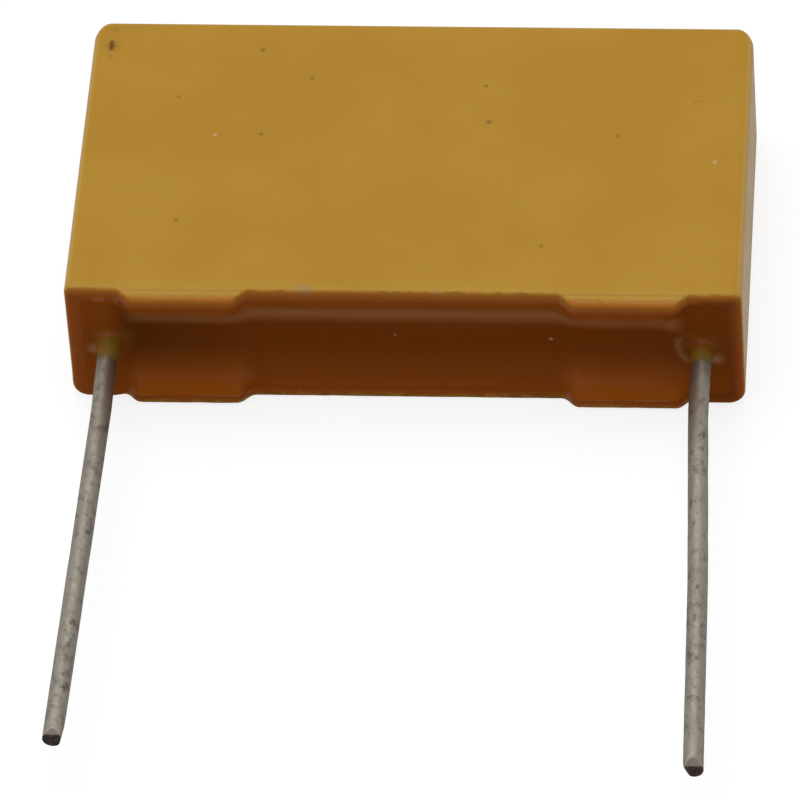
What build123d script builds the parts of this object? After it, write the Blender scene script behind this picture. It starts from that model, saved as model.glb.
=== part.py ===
from build123d import *
import math
import os

# Safety capacitor: a yellow moulded cup, a wound element potted in it and two round leads.
# The part lies on its large back face (z = 0). The leads point to -Y, the closed end to +Y
# and X runs from lead to lead. All sizes are millimetres.

# ---- case ----
case_width = 26.0          # across both leads, at the rim
case_height = 14.5         # rim to closed end
case_thickness = 6.0       # at the rim
foot_height = 0.5          # how far the feet stand out of the rim
side_draft = 0.15          # each narrow side leans in by this at the closed end
front_draft = 0.25         # the front face drops by this at the closed end
wall = 0.56
end_wall = 0.75            # closed end
plan_corner_r = 0.8        # the two corners of the closed end, seen from the front
front_edge_r = 0.5
back_edge_r = 0.65
inner_edge_r = 0.3

# ---- feet, two on each large wall ----
foot_inset = 2.1           # narrow side to the root of the outer foot end
foot_length = 4.85         # at the root
foot_slant = 0.42          # each foot end leans in by this
foot_tip_r = 0.25
foot_root_r = 0.25
rim_edge_r = 0.18          # outer edge of the rim and of the feet

# ---- leads ----
lead_edge = 1.59           # lead centre to the outside of the narrow side, at the resin
lead_r = 0.4
lead_left_reach = 20.1     # rim to tip
lead_right_reach = 21.15
lead_straight = 3.05       # rim to the bend of the right lead
left_bend_drop = 0.15      # the left lead bends this much further out
left_splay = 1.8           # degrees
right_splay = 2.42         # degrees, first run
right_knee = 0.98          # degrees taken back at the second bend
right_first_run = 8.75     # first bend to second bend
bend_r = 12.0
left_bevel = 0.15          # how much of the wire the cutter took off the top of each tip
right_bevel = 0.28
bevel_angle = 28.0         # degrees to the wire
right_side_bevel = 0.24    # the right tip is nipped on its inner side too

# ---- wound element ----
element_shift = -0.02      # the element sits this far off the middle of the cup
element_gap = 0.35         # element to the closed end inside
resin_cover = 1.5          # resin over the element under the dish
element_thickness = 4.1
spray = 0.35               # sprayed metal on each end of the winding
press = 0.06               # the leads are pressed this far into the sprayed metal

# ---- solder joints ----
solder_length = 3.4
solder_width = 1.9
solder_height = 0.5
solder_over = 0.7          # solder past the inner end of the lead
solder_draft = 25.0        # degrees

# ---- resin ----
resin_drop = 0.05          # resin level under the rim
resin_lip = 0.32           # width along the large walls where the resin stays level
dish_depth = 0.4           # under that level
dish_flat = 1.2            # flat middle of the dish, between its two hollow curves
dish_left_run = 1.0        # length over which the dish runs out at the left lead
dish_right_run = 1.8       # and at the right lead
climb_gap = 0.04           # foot tip to the resin that climbs its inner face
climb_lip = 0.5            # width of that resin before it turns down
climb_roll = 0.07          # fall across that width
climb_run = 1.3            # length over which it rises at either end of a foot
climb_overhang = 0.4       # it starts this far before the foot
climb_flat = 0.2           # flat middle between its two hollow curves
climb_sink = 0.15          # its curves aim this far under the surface they run into
collar_r = 1.3             # resin drawn up the leads: foot of the collar
collar_rise = 0.85         # over the rim
collar_lip = 0.03          # thickness at the top of the collar

# ---- levels and places that follow from the sizes ----
lead_pitch = case_width - 2 * lead_edge
total_height = case_height + foot_height
seat_y = -total_height / 2
rim_y = seat_y + foot_height
end_y = total_height / 2
half_width = case_width / 2
mid_z = case_thickness / 2
resin_y = rim_y + resin_drop
dish_y = resin_y + dish_depth
climb_y = seat_y + climb_gap
element_bottom = dish_y + resin_cover
element_top = end_y - end_wall - element_gap
element_height = element_top - element_bottom
left_x = element_shift - lead_pitch / 2
right_x = element_shift + lead_pitch / 2
spray_face = lead_pitch / 2 - lead_r + press
foot_outer = half_width - foot_inset
foot_inner = foot_outer - foot_length
lead_end_y = element_bottom + 0.72 * element_height
bend_y = rim_y - lead_straight
cut = case_width           # a length that passes right through the part


def block(low, corner_r, front_r, back_r, inset, end_inset):
    """Drafted block with rounded closed end; inset gives the cavity of the same cup."""
    high = end_y - end_inset

    def half_at(y):
        return half_width - side_draft * (y - seat_y) / total_height - inset

    def front_at(y):
        return case_thickness - front_draft * (y - seat_y) / total_height - inset

    plan = Polygon(
        (-half_at(low), low),
        (half_at(low), low),
        (half_at(high), high),
        (-half_at(high), high),
        align=None,
    )
    side = Polygon((low, inset), (high, inset), (high, front_at(high)), (low, front_at(low)), align=None)
    body = extrude(plan, cut) & extrude(Plane.YZ * side, cut, both=True)
    corners = body.edges().filter_by(Axis.Z).group_by(Axis.Y)[-1]
    body = fillet(corners, corner_r)
    front_face = body.faces().sort_by(Axis.Z)[-1]
    body = fillet(open_edges(front_face, low), front_r)
    back_face = body.faces().filter_by(Axis.Z).sort_by(Axis.Z)[0]
    return fillet(open_edges(back_face, low), back_r)


def open_edges(face, low):
    """Edges of a face that do not lie in the plane of the open end."""
    return [edge for edge in face.edges() if edge.center().Y > low + 0.01]


def slab(x0, x1, y0, y1, z0, z1):
    """Box between two corners."""
    return Pos((x0 + x1) / 2, (y0 + y1) / 2, (z0 + z1) / 2) * Box(x1 - x0, y1 - y0, z1 - z0)


def foot_plan():
    """Case seen from the front, with the feet, as a cutting outline."""
    tip_outer = foot_outer - foot_slant
    tip_inner = foot_inner + foot_slant
    right = [
        (foot_inner, rim_y),
        (tip_inner, seat_y),
        (tip_outer, seat_y),
        (foot_outer, rim_y),
        (cut, rim_y),
        (cut, cut),
    ]
    left = [(-x, y) for x, y in reversed(right)]
    face = Polygon(*right, *left, align=None)
    tips = face.vertices().filter_by_position(Axis.Y, seat_y - 0.01, seat_y + 0.01)
    face = fillet(tips, foot_tip_r)
    roots = face.vertices().filter_by_position(Axis.Y, rim_y - 0.01, rim_y + 0.01)
    roots = [v for v in roots if abs(v.X) < half_width]
    return fillet(roots, foot_root_r)


def rim_edges(body):
    """Outer edges of the open end, feet included, of the cup before it is hollowed."""
    found = []
    for edge in body.edges():
        spot = edge.center()
        crosses = abs(spot.Z - mid_z) < mid_z / 2 and abs(spot.X) < foot_outer + foot_root_r
        if spot.Y < rim_y + 0.01 and not crosses:
            found.append(edge)
    return found


def lead(x, side, runs, reach):
    """Round wire from the element to its tip; runs lists where it bends and by how much."""
    line = Line((x, lead_end_y), (x, runs[0][0]))
    path = Curve() + line
    for index, (start_y, turn) in enumerate(runs):
        arc = JernArc(line @ 1, line % 1, bend_r, side * turn)
        stop_y = runs[index + 1][0] if index + 1 < len(runs) else rim_y - reach
        heading = arc % 1
        line = Line(arc @ 1, arc @ 1 + heading * ((stop_y - (arc @ 1).Y) / heading.Y))
        path += [arc, line]
    section = Plane((x, lead_end_y, 0), z_dir=(0, -1, 0)) * Circle(lead_r)
    wire = sweep(section, path=path)
    tip = line @ 1 + Vector(0, 0, mid_z)
    return Pos(0, 0, mid_z) * wire, tip, line % 1


def nip(tip, heading, outward, depth):
    """Block that takes the flank of a cut wire end away, depth deep at the very end."""
    lean = math.radians(bevel_angle)
    side = outward.normalized()
    normal = side * math.cos(lean) + heading * math.sin(lean)
    along = side * math.sin(lean) - heading * math.cos(lean)
    plane = Plane(tip + side * (lead_r - depth), x_dir=along, z_dir=normal)
    return plane * Box(4 * lead_r, 4 * lead_r, 2 * lead_r, align=(Align.CENTER, Align.CENTER, Align.MIN))


def element_slice(x0, x1):
    """Length of the flattened winding between two stations across the part."""
    middle = (element_bottom + element_top) / 2
    outline = SlotOverall(element_height, element_thickness)
    plane = Plane((x0, middle, mid_z), x_dir=(0, 1, 0), z_dir=(1, 0, 0))
    return extrude(plane * outline, x1 - x0)


def solder(side):
    """Low solder mound on the sprayed metal, round the inner end of a lead."""
    top = lead_end_y + solder_over
    centre = (element_shift + side * spray_face, top - solder_length / 2, mid_z)
    plane = Plane(centre, x_dir=(0, 1, 0), z_dir=(side, 0, 0))
    outline = RectangleRounded(solder_length, solder_width, 0.4 * solder_width)
    return extrude(plane * outline, solder_height, taper=solder_draft)


def collar(x):
    """Resin drawn up round a lead, hollow in profile."""
    foot_y = dish_y + 0.1 * collar_r
    top_y = rim_y - collar_rise
    top_r = lead_r + collar_lip
    flank = Bezier((collar_r, dish_y + 0.03), (1.2 * top_r, dish_y - 0.1), (top_r, top_y))
    rest = Polyline((top_r, top_y), (0, top_y), (0, foot_y), (collar_r, foot_y), flank @ 0)
    turned = revolve(make_face(Curve() + [flank, rest]), Axis.Y)
    return Pos(x, 0, mid_z) * turned


def hollow(start, end, level, floor_y):
    """Curve that leaves a level steeply and runs out flat on a floor."""
    return [(level, start), (floor_y, (start + end) / 2), (floor_y, end)]


def mirrored(points):
    """Section points on the other large wall."""
    return [(y, case_thickness - z) for y, z in reversed(points)]


def dish():
    """Cutter for the sunken middle of the resin between the leads."""
    clear = rim_y - foot_height
    flank = hollow(wall + resin_lip, mid_z - dish_flat / 2, resin_y, dish_y)
    other = mirrored(flank)
    closing = Polyline(other[-1], (clear, other[-1][1]), (clear, flank[0][1]), flank[0])
    section = make_face(Curve() + [Bezier(*flank), Line(flank[-1], other[0]), Bezier(*other), closing])
    left = hollow(left_x + lead_r, left_x + lead_r + dish_left_run, resin_y, dish_y)
    right = hollow(right_x - lead_r, right_x - lead_r - dish_right_run, resin_y, dish_y)
    left = [(x, y) for y, x in left]
    right = [(x, y) for y, x in reversed(right)]
    closing = Polyline(right[-1], (right[-1][0], clear), (left[0][0], clear), left[0])
    length = make_face(Curve() + [Bezier(*left), Line(left[-1], right[0]), Bezier(*right), closing])
    return extrude(Plane.YZ * section, cut, both=True) & extrude(length, case_thickness)


def climb(side):
    """Resin that climbs the inner faces of the two feet on one side, hollow towards the dish."""
    floor_y = dish_y + climb_sink
    base_y = floor_y + climb_sink
    start = wall + climb_lip
    flank = hollow(start, mid_z - climb_flat / 2, climb_y + climb_roll, floor_y)
    rest = Polyline(flank[-1], (base_y, flank[-1][1]), (base_y, 0), (climb_y, 0), (climb_y, wall), flank[0])
    near = make_face(Curve() + [Bezier(*flank), rest])
    far_flank = mirrored(flank)
    top = case_thickness
    rest = Polyline(far_flank[-1], (climb_y, top - wall), (climb_y, top), (base_y, top), (base_y, far_flank[0][1]))
    far = make_face(Curve() + [Bezier(*far_flank), rest, Line(rest @ 1, far_flank[0])])
    inner = foot_inner - climb_overhang
    outer = foot_outer + climb_overhang
    crest_in = inner + climb_run
    crest_out = outer - climb_run
    half_in = (inner + crest_in) / 2
    half_out = (crest_out + outer) / 2
    rise = Bezier((inner, floor_y), (half_in, floor_y), (half_in, climb_y), (crest_in, climb_y))
    crest = Line((crest_in, climb_y), (crest_out, climb_y))
    low_y = resin_y + climb_sink
    fall = Bezier((crest_out, climb_y), (half_out, climb_y), (half_out, low_y), (outer, low_y))
    rest = Polyline((outer, low_y), (outer, base_y), (inner, base_y), (inner, floor_y))
    hump = extrude(make_face(Curve() + [rise, crest, fall, rest]), case_thickness)
    if side < 0:
        hump = mirror(hump, Plane.YZ)
    run = extrude(Plane.YZ * near, cut, both=True) + extrude(Plane.YZ * far, cut, both=True)
    return run & hump


# ---- case ----
outer = block(seat_y, plan_corner_r, front_edge_r, back_edge_r, 0, 0)
outer &= extrude(foot_plan(), cut)
outer = fillet(rim_edges(outer), rim_edge_r)
cavity = block(seat_y - foot_height, inner_edge_r, inner_edge_r, inner_edge_r, wall, end_wall)
case = outer - cavity

# ---- leads ----
left_runs = [(bend_y - left_bend_drop, -left_splay)]
right_runs = [(bend_y, right_splay), (bend_y - right_first_run, -right_knee)]
up = Vector(0, 0, 1)
wire_left, tip_left, heading_left = lead(left_x, 1, left_runs, lead_left_reach)
wire_right, tip_right, heading_right = lead(right_x, 1, right_runs, lead_right_reach)
lead_left = wire_left - nip(tip_left, heading_left, up, left_bevel)
lead_right = wire_right - nip(tip_right, heading_right, up, right_bevel)
lead_right -= nip(tip_right, heading_right, Vector(-0.8, 0, -0.6), right_side_bevel)

# ---- wound element ----
core = spray_face - spray
film_winding = element_slice(element_shift - core, element_shift + core)
metal_spray_left = element_slice(element_shift - spray_face, element_shift - core) - wire_left
metal_spray_right = element_slice(element_shift + core, element_shift + spray_face) - wire_right
solder_joint_left = solder(-1) - wire_left
solder_joint_right = solder(1) - wire_right

# ---- resin ----
resin = cavity & slab(-cut, cut, resin_y, cut, -cut, cut)
resin -= dish()
resin += cavity & climb(-1)
resin += cavity & climb(1)
resin += cavity & collar(left_x)
resin += cavity & collar(right_x)
resin -= element_slice(element_shift - spray_face, element_shift + spray_face)
resin -= solder(-1) + solder(1)
resin -= wire_left
resin -= wire_right

nodes = {
    "case": case,
    "resin_fill": resin,
    "film_winding": film_winding,
    "metal_spray_left": metal_spray_left,
    "metal_spray_right": metal_spray_right,
    "solder_joint_left": solder_joint_left,
    "solder_joint_right": solder_joint_right,
    "lead_left": lead_left,
    "lead_right": lead_right,
}
os.makedirs("parts", exist_ok=True)
for name, node in nodes.items():
    export_step(node, f"parts/{name}.step")
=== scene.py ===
"""Boxed film capacitor: a moulded cup with four small feet, glossy potting resin and two tinned leads.

Laid out as an add-on: each piece has its own operator, and the sizes and colours are properties of the scene.
All pieces are in metres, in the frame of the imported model.
"""

import math

import bmesh
import bpy
import numpy as np
from bpy.props import FloatProperty, FloatVectorProperty, PointerProperty
from mathutils import Matrix, Vector, noise


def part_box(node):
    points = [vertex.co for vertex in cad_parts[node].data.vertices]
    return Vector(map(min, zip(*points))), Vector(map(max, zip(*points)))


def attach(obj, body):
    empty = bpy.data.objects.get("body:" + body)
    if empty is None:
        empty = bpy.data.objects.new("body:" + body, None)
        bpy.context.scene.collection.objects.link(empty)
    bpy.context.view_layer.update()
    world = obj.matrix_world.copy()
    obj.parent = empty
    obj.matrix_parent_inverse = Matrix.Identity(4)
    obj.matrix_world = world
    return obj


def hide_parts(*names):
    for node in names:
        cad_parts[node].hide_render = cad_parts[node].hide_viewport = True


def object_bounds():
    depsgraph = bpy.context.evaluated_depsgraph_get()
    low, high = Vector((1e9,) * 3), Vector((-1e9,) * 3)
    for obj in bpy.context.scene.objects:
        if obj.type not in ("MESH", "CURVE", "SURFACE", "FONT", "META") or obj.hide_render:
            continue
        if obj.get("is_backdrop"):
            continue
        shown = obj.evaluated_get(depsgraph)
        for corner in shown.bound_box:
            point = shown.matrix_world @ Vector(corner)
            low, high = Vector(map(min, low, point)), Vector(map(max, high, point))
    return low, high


bl_info = {
    "name": "Boxed film capacitor",
    "version": (1, 0, 0),
    "blender": (4, 5, 0),
    "location": "3D View > Sidebar > Capacitor",
    "description": "Moulded cup, potting resin and wire leads of a boxed film capacitor",
    "category": "Object",
}

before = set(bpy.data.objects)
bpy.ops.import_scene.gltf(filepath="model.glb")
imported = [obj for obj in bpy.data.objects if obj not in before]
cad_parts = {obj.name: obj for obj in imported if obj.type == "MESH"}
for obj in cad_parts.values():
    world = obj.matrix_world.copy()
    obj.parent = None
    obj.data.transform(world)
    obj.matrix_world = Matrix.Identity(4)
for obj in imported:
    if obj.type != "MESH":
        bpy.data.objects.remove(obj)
packed_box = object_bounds()
MM = 0.001
CUP_LOW, CUP_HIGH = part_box("case")
LEFT_LOW, LEFT_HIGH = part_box("lead_left")
RIGHT_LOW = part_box("lead_right")[0]
ELEMENT_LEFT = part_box("metal_spray_left")[0].x
ELEMENT_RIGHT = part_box("metal_spray_right")[1].x

CRISP = 38  # degrees between two faces from which their edge stays crisp
FRONT_FACE = 5.88  # height of the front face where its marks lie, in millimetres
RAYS = ("Camera", "Transmission", "Glossy")
SOFT_STEPS = (-1.0, -0.5, 0.0, 0.5, 1.0)  # shifts over which a crease is averaged
SPECKS = (  # dark specks of the front face: x, y and radius
    *((-6.21, 5.92, 0.14), (-4.19, 4.43, 0.12), (-5.97, 1.39, 0.13), (-9.31, 3.34, 0.11), (-8.92, -3.28, 0.16)),
    *((-3.6, -6.04, 0.12), (2.61, 4.1, 0.11), (2.83, 2.16, 0.16), (5.2, -4.44, 0.16), (7.87, 1.48, 0.12)),
)


# ---------------------------------------------------------------- settings


def size(label, what, millimetres):
    """A length that the user can change."""
    return FloatProperty(name=label, description=what, default=millimetres * MM, unit="LENGTH", precision=5)


def angle(label, what, degrees):
    """An angle that the user can change."""
    return FloatProperty(name=label, description=what, default=math.radians(degrees), subtype="ANGLE")


def share(label, what, value, top=1.0):
    """A plain factor."""
    return FloatProperty(name=label, description=what, default=value, min=0.0, max=top)


def colour(label, what, rgb):
    """A colour, linear."""
    return FloatVectorProperty(name=label, description=what, default=rgb, subtype="COLOR", min=0.0, max=1.0)


class CupSizes(bpy.types.PropertyGroup):
    wall: size("Wall", "Thickness of the cup's wall", 0.56)
    end_wall: size("End wall", "Thickness of the closed end", 0.75)
    foot_height: size("Foot height", "How far the feet stand out of the rim", 0.5)
    foot_inset: size("Foot inset", "Narrow side to the root of the outer foot end", 2.1)
    foot_length: size("Foot length", "Length of a foot at its root", 4.85)
    foot_slant: size("Foot slant", "How far each foot end leans in", 0.42)
    side_draft: size("Side draft", "How far a narrow side leans in at the closed end", 0.12)
    front_draft: size("Front draft", "How far the front face drops at the closed end", 0.1)
    plan_corner: size("Closed corners", "Radius of the two corners of the closed end", 0.9)
    front_edge: size("Front edges", "Radius along the front face", 0.35)
    back_edge: size("Back edges", "Radius along the back face", 0.65)
    inner_edge: size("Inner edges", "Radius along the inside of the cup", 0.3)
    rim_round: size("Rim rounding", "Radius of the rim's outer edge", 0.2)
    rim_wear: size("Rim wear", "How uneven the rim's edge is", 0.03)
    foot_lean: size("Foot lean", "How far the outer face of a foot leans in at its tip", 0.06)
    end_coat: size("End coat", "Resin over the rim past the outer end of a lower foot", 0.12)
    sink: size("Sink", "How far the middle of the large faces has sunk in the mould", 0.03)


class ResinSizes(bpy.types.PropertyGroup):
    drop: size("Level", "Resin level under the rim at the narrow ends", 0.05)
    lip: size("Lip", "Width along the walls where the resin stays level with the rim", 0.32)
    dish_depth: size("Dish depth", "Depth of the sunken middle under the rim", 0.45)
    meniscus: size("Meniscus", "Width of the hollow curve from the lip to the middle", 1.52)
    left_end: size("Left end", "Length over which the dish runs out at the left lead", 0.8)
    right_end: size("Right end", "Length over which the dish runs out at the right lead", 1.6)
    lip_round: size("Lip rounding", "How softly the lip turns down", 0.16)
    foot_roll: size("Foot roll", "How far the lip rolls in along a foot", 0.07)
    foot_lip: size("Foot lip", "How much wider the lip is along a foot", 0.2)
    foot_reach: size("Foot reach", "How far the resin begins to climb before a foot", 0.45)
    foot_climb: size("Foot climb", "Length over which the resin climbs along a foot", 1.3)
    foot_flank: size("Foot flank", "How much wider the hollow curve is along a foot", 0.3)
    left_collar: size("Left collar", "Reach of the collar that the resin forms round the left lead", 1.3)
    right_collar: size("Right collar", "Reach of the collar that the resin forms round the right lead", 1.5)
    collar_rise: size("Collar rise", "Top of the collar over the rim", 0.8)
    left_hollow: share("Left collar hollow", "How steeply the left collar rises next to the wire", 6.5, 12.0)
    right_hollow: share("Right collar hollow", "How steeply the right collar rises next to the wire", 9.5, 12.0)


class LeadSizes(bpy.types.PropertyGroup):
    radius: size("Radius", "Radius of the wire", 0.39)
    pitch: size("Pitch", "Centre to centre where the leads leave the resin", 22.82)
    left_bend: size("Left bend", "Rim to the bend of the left lead", 3.2)
    left_splay: angle("Left splay", "Lean of the left lead past its bend", 1.74)
    right_bend: size("Right bend", "Rim to the first bend of the right lead", 3.05)
    right_splay: angle("Right splay", "Lean of the right lead past its first bend", 2.42)
    right_knee: size("Right knee", "Rim to the second bend of the right lead", 11.8)
    right_return: angle("Right return", "How much the second bend takes back", 0.98)
    bend_radius: size("Bend radius", "Radius of the bends", 12.0)
    left_bevel: size("Left bevel", "Depth the cutter took off the left tip", 0.15)
    left_side_bevel: size("Left side bevel", "Depth the cutter pressed in the side of the left tip", 0.08)
    right_bevel: size("Right bevel", "Depth the cutter took off the right tip", 0.2)
    right_side_bevel: size("Right side bevel", "Depth nipped off the side of the right tip", 0.12)
    bevel_angle: angle("Bevel angle", "Lean of the cut flank to the wire", 28.0)
    press_angle: angle("Press angle", "Lean of the long pressed flank to the wire", 10.0)
    bevel_soft: size("Bevel softness", "How softly a cut flank runs out into the round wire", 0.06)
    dents: size("Dents", "Depth of the small dents in the wire", 0.012)


class Finishes(bpy.types.PropertyGroup):
    plastic: colour("Plastic", "Moulded polyester of the cup", (0.450, 0.245, 0.0245))
    plastic_deep: colour("Plastic, deep", "Darker drifts in the plastic", (0.424, 0.224, 0.019))
    # painted reflection: pale narrow sides
    painted_side_reflection: colour("Side bloom", "Pale bloom on the narrow sides", (0.62, 0.48, 0.34))
    # painted highlight on the rounded edges
    painted_edge_highlight: colour("Edge bloom", "Pale bloom on the rounded edges", (0.56, 0.36, 0.10))
    rim_stain: colour("Rim", "Resin-stained end of the wall", (0.345, 0.070, 0.001))
    # painted light: paler lower edge of the lower feet
    painted_brim_light: colour("Brim", "Pale edge of the lower feet", (0.42, 0.20, 0.07))
    resin: colour("Resin", "Potting resin", (0.195, 0.041, 0.001))
    resin_deep: colour("Resin, deep", "Resin at the left end of the dish", (0.140, 0.031, 0.001))
    # thin resin, also used as painted light along the walls and towards the lower wall
    resin_edge: colour("Resin, thin", "Resin where it is thin over the wall", (0.30, 0.068, 0.003))
    resin_warm: colour("Resin, warm", "Resin where light comes through it over the lower feet", (0.40, 0.092, 0.001))
    # painted highlight under the front wall
    resin_lip_highlight: colour("Resin, streak", "Pale streak where the resin turns in at the front", (0.42, 0.17, 0.06))
    resin_wire: colour("Resin on wire", "Thin resin over the leads", (0.19, 0.10, 0.008))
    # painted highlight colour
    gleam: colour("Gleam", "Pale gleam of smooth resin", (0.42, 0.22, 0.11))
    resin_halo: colour("Resin collar", "Resin of the collars round the leads", (0.26, 0.085, 0.002))
    resin_coat: colour("Resin coat", "Film of resin on the first of the bare wire", (0.15, 0.088, 0.008))
    wire: colour("Wire", "Dull tinned wire", (0.365, 0.33, 0.272))
    # dark flecks of the tin, also painted shade on the pressed flanks
    dark_tin_and_shade: colour("Wire, dark", "Dark flecks in the tin", (0.14, 0.115, 0.095))
    # painted shade on the wire next to the resin and on its inner sides
    painted_wire_shade: colour("Wire, stained", "Brown varnish on the wire next to the resin", (0.11, 0.062, 0.038))
    # sheared end, darkened as painted shade
    shaded_cut_end: colour("Cut end", "Sheared end of the wire", (0.055, 0.038, 0.032))
    scorch: colour("Scorch", "Red-brown spot by the closed end", (0.11, 0.026, 0.007))
    # dark specks, also used for a painted shade line along the rim
    speck_and_shade: colour("Specks", "Dark specks on the plastic", (0.11, 0.055, 0.015))
    # plastic made paler towards the rim
    paler_near_rim: colour("Rim bloom", "Pale bloom of the plastic next to the rim", (0.47, 0.30, 0.065))
    pale_mark: colour("Pale marks", "Pale marks on the plastic", (0.60, 0.50, 0.36))
    worn: colour("Worn rim", "Plastic where the rim is worn", (0.30, 0.22, 0.14))
    resin_pale: colour("Resin, pale specks", "Pale specks in the resin", (0.5, 0.35, 0.2))
    resin_speck: colour("Resin, dark specks", "Dark specks in the resin", (0.05, 0.012, 0.0))
    cut_pale: colour("Cut end, pale", "Paler grain of the sheared end", (0.12, 0.075, 0.055))


class StudioSettings(bpy.types.PropertyGroup):
    azimuth: angle("Azimuth", "Camera round the part", 6.644)
    elevation: angle("Elevation", "Camera above the table", 47.445)
    roll: angle("Roll", "Camera turned about its own axis", -4.205)
    distance: size("Distance", "Camera to the point it looks at", 424.87)
    look_ahead: size("Look ahead", "The point it looks at, out of the open end from the middle of the part", 9.807)
    look_aside: size("Look aside", "The point it looks at, sideways from the middle of the part", -0.027)
    lens: FloatProperty(name="Lens", description="Focal length in millimetres", default=500.71)
    lamp: FloatProperty(name="Lamp", description="Power of the lamp overhead", default=2.2)
    sky: FloatProperty(name="Surround", description="Strength of the light all round", default=0.5)


GROUPS = {
    "cup_sizes": CupSizes,
    "resin_sizes": ResinSizes,
    "lead_sizes": LeadSizes,
    "finishes": Finishes,
    "studio": StudioSettings,
}


# ---------------------------------------------------------------- shared helpers


def smooth(t):
    """Smooth step from 0 to 1."""
    t = np.clip(t, 0.0, 1.0)
    return t * t * (3 - 2 * t)


def drift(x, y, z, scale, seed):
    """Soft noise about zero at a point in millimetres."""
    return noise.noise(Vector((x * scale + seed, y * scale - seed, z * scale + 2 * seed)))


def take_sizes(form, sizes):
    """Copies a group of settings to a form, lengths in millimetres."""
    for key in sizes.__annotations__:
        value = getattr(sizes, key)
        setattr(form, key, value if key.endswith(("hollow", "splay", "return", "angle")) else value / MM)


def put(name, data):
    """New object in the scene."""
    thing = bpy.data.objects.new(name, data)
    bpy.context.scene.collection.objects.link(thing)
    return thing


def point_mesh(name, verts, faces):
    """Mesh from millimetre points."""
    mesh = bpy.data.meshes.new(name)
    mesh.from_pydata([tuple(c * MM for c in v) for v in verts], [], faces)
    mesh.validate()
    mesh.update()
    return mesh


def new_piece(name, mesh, slot, material, *nodes):
    """Object of a mesh; it stands for the CAD nodes named."""
    piece = put(name, mesh)
    mesh.materials.append(material)
    shade(mesh)
    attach(piece, "root")
    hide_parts(*nodes)


def shade(mesh):
    """Outward normals and smooth shading, with crisp edges where faces meet steeply."""
    work = bmesh.new()
    work.from_mesh(mesh)
    bmesh.ops.recalc_face_normals(work, faces=work.faces)
    for face in work.faces:
        face.smooth = True
    work.to_mesh(mesh)
    work.free()
    mesh.set_sharp_from_angle(angle=math.radians(CRISP))


def ring_faces(first, second, count):
    """Quads between two closed rings of equal length, given by their first indices."""
    return [(first + i, first + (i + 1) % count, second + (i + 1) % count, second + i) for i in range(count)]


# ---------------------------------------------------------------- finishes


class Value:
    """Output of a node; sums and products of it add the nodes that work them out."""

    def __init__(self, nodes, socket):
        self.nodes = nodes
        self.socket = socket

    def __add__(self, other):
        return self.nodes.math("ADD", self, other)

    def __sub__(self, other):
        return self.nodes.math("SUBTRACT", self, other)

    def __rsub__(self, other):
        return self.nodes.math("SUBTRACT", other, self)

    def __mul__(self, other):
        return self.nodes.math("MULTIPLY", self, other)

    def __truediv__(self, other):
        return self.nodes.math("DIVIDE", self, other)

    def __abs__(self):
        return self.nodes.math("ABSOLUTE", self)

    def scaled(self, factor, plus):
        return self.nodes.math("MULTIPLY_ADD", self, factor, plus)


class Nodes:
    """Node tree with short ways to add and join nodes."""

    def __init__(self, owner):
        owner.use_nodes = True
        self.tree = owner.node_tree

    def add(self, kind, inputs=None, **settings):
        """New node with its inputs, by name or index, and its settings."""
        node = self.tree.nodes.new(kind)
        for key, value in settings.items():
            setattr(node, key, value)
        for key, value in (inputs or {}).items():
            self.feed(node.inputs[key], value)
        return node

    def value(self, output, kind, inputs=None, **settings):
        """One output of a new node."""
        return Value(self, self.add(kind, inputs, **settings).outputs[output])

    def feed(self, socket, value):
        """Links a node's output or sets a plain value."""
        if isinstance(value, Value):
            self.tree.links.new(value.socket, socket)
        elif hasattr(value, "__len__") and len(value) == 3 and len(socket.default_value) == 4:
            socket.default_value = (*value, 1.0)
        else:
            socket.default_value = value

    def split(self, vector):
        """The three parts of a vector."""
        return [Value(self, part) for part in self.add("ShaderNodeSeparateXYZ", {0: vector}).outputs]

    def math(self, operation, *values):
        return self.value(0, "ShaderNodeMath", dict(enumerate(values)), operation=operation)

    def chain(self, operation, values):
        total, *others = values
        for value in others:
            total = self.math(operation, total, value)
        return total

    def most(self, *values):
        """Largest of several values."""
        return self.chain("MAXIMUM", values)

    def least(self, *values):
        """Smallest of several values."""
        return self.chain("MINIMUM", values)

    def ramp(self, value, low, high, start=0.0, end=1.0):
        """Smooth change from start to end as value goes from low to high."""
        limits = {"Value": value, "From Min": low, "From Max": high, "To Min": start, "To Max": end}
        return self.value(0, "ShaderNodeMapRange", limits, interpolation_type="SMOOTHSTEP")


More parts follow.
